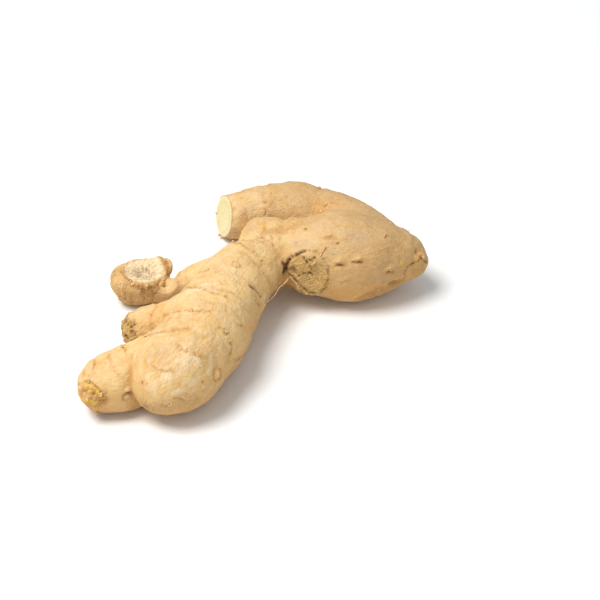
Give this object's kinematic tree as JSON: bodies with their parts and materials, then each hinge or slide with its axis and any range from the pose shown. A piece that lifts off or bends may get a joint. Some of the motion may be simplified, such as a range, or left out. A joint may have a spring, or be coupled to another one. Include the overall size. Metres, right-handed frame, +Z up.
{
  "type": "ginger root",
  "caption": "Fresh ginger rhizome lying flat: a knobbly ringed trunk with short branching fingers, low buds and two pale cut ends.",
  "frame": {"origin": "on the surface the rhizome lies on, under the middle of its outline seen from above", "axes": "+Z up from the surface; -Y towards the viewer of the picture, where the thick front lobe and the toe point; +X to the viewer's right, where the body's tip points"},
  "size_m": [0.1312, 0.1368, 0.0342],
  "materials": {
    "skin": "matte, dry papery skin, pale tan with thin orange-brown rings"
  },
  "bodies": {
    "root": {"rhizome": "skin"}
  },
  "joints": []
}
